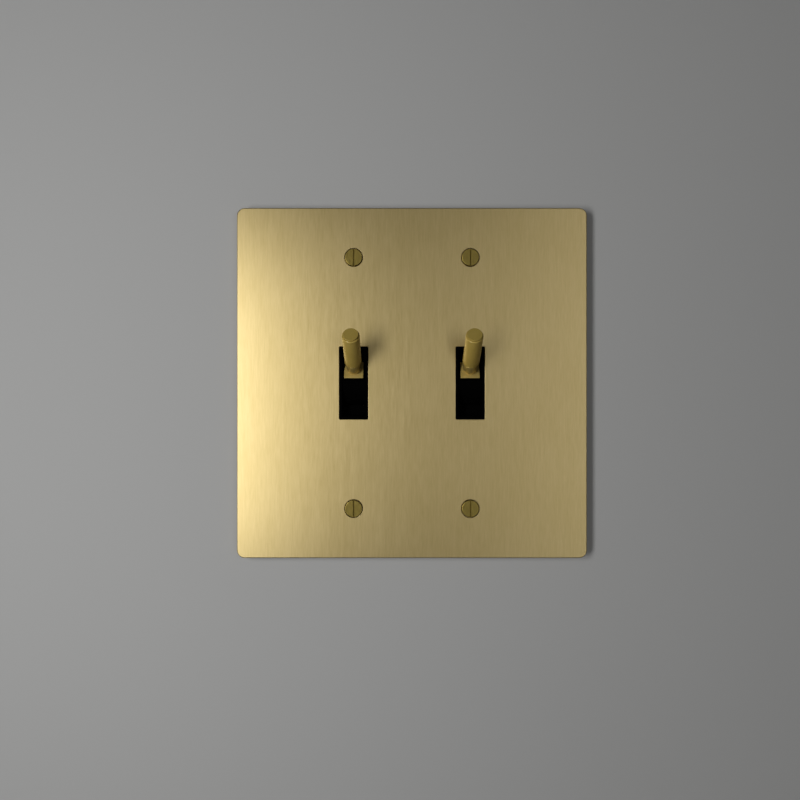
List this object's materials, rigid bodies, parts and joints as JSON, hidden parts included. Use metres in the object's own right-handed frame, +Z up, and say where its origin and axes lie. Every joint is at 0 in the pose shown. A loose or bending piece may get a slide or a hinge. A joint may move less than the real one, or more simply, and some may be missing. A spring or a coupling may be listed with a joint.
{
  "type": "brass dolly switch",
  "caption": "Wall switch with a square brushed brass plate, black slots and cylindrical brass levers that tilt up and down, with its hidden mechanism.",
  "frame": {"origin": "centre of the plate on the wall surface that it is fixed to", "axes": "+Z up, -Y out of the wall towards the room, +X to the right as seen from the room"},
  "size_m": [0.138, 0.0544, 0.138],
  "materials": {
    "brushed_brass": "brushed upright, lacquered",
    "turned_brass": "fine turned, satin",
    "screw_brass": "turned, satin",
    "black_moulding": "moulded, matt",
    "housing_phenolic": "compression moulded, matt",
    "galvanised_steel": "zinc coated sheet",
    "plated_steel": "zinc plated",
    "spring_steel": "rolled strip, blued",
    "terminal_brass": "stamped, bright",
    "bronze_strip": "rolled strip, bright",
    "contact_silver": "coined, bright",
    "red_fibre": "punched vulcanised fibre",
    "green_screw": "green dyed plating"
  },
  "bodies": {
    "root": {"faceplate": "brushed_brass", "back_frame": "black_moulding", "plate_screws": "screw_brass", "box_screws": "plated_steel", "screw_retainers": "red_fibre", "slot_liner_left": "black_moulding", "spring_washer_left": "plated_steel", "pivot_pin_left": "plated_steel", "strap_left": "galvanised_steel", "body_left": "housing_phenolic", "body_rivets_left": "plated_steel", "line_terminal_left": "terminal_brass", "common_terminal_left": "terminal_brass", "terminal_screws_left": "screw_brass", "fixed_contact_left": "contact_silver", "arm_spring_left": "spring_steel", "ground_screw_left": "green_screw", "slot_liner_right": "black_moulding", "spring_washer_right": "plated_steel", "pivot_pin_right": "plated_steel", "strap_right": "galvanised_steel", "body_right": "housing_phenolic", "body_rivets_right": "plated_steel", "line_terminal_right": "terminal_brass", "common_terminal_right": "terminal_brass", "terminal_screws_right": "screw_brass", "fixed_contact_right": "contact_silver", "arm_spring_right": "spring_steel", "ground_screw_right": "green_screw"},
    "dolly_left": {"cradle_left": "black_moulding", "lever_stem_left": "turned_brass", "lever_sleeve_left": "turned_brass", "lever_end_cap_left": "turned_brass"},
    "arm_left": {"contact_arm_left": "bronze_strip", "moving_contact_left": "contact_silver"},
    "dolly_right": {"cradle_right": "black_moulding", "lever_stem_right": "turned_brass", "lever_sleeve_right": "turned_brass", "lever_end_cap_right": "turned_brass"},
    "arm_right": {"contact_arm_right": "bronze_strip", "moving_contact_right": "contact_silver"}
  },
  "joints": [
    {"name": "dolly_turn_left", "type": "hinge", "parent": "root", "child": "dolly_left", "pos_m": [-0.023, 0.0055, 0], "axis": [1, 0, 0], "range_deg": [0, 61.2]},
    {"name": "arm_lift_left", "type": "hinge", "parent": "root", "child": "arm_left", "pos_m": [-0.023, 0.01556, -0.018], "axis": [1, 0, 0], "range_deg": [-8, 0], "deforming": ["arm_spring_left"]},
    {"name": "dolly_turn_right", "type": "hinge", "parent": "root", "child": "dolly_right", "pos_m": [0.023, 0.0055, 0], "axis": [1, 0, 0], "range_deg": [0, 61.2]},
    {"name": "arm_lift_right", "type": "hinge", "parent": "root", "child": "arm_right", "pos_m": [0.023, 0.01556, -0.018], "axis": [1, 0, 0], "range_deg": [-8, 0], "deforming": ["arm_spring_right"]}
  ],
  "couplings": [
    {"joint": "arm_lift_left", "follows": "dolly_turn_left", "ratio": -0.13},
    {"joint": "arm_lift_right", "follows": "dolly_turn_right", "ratio": -0.13}
  ]
}
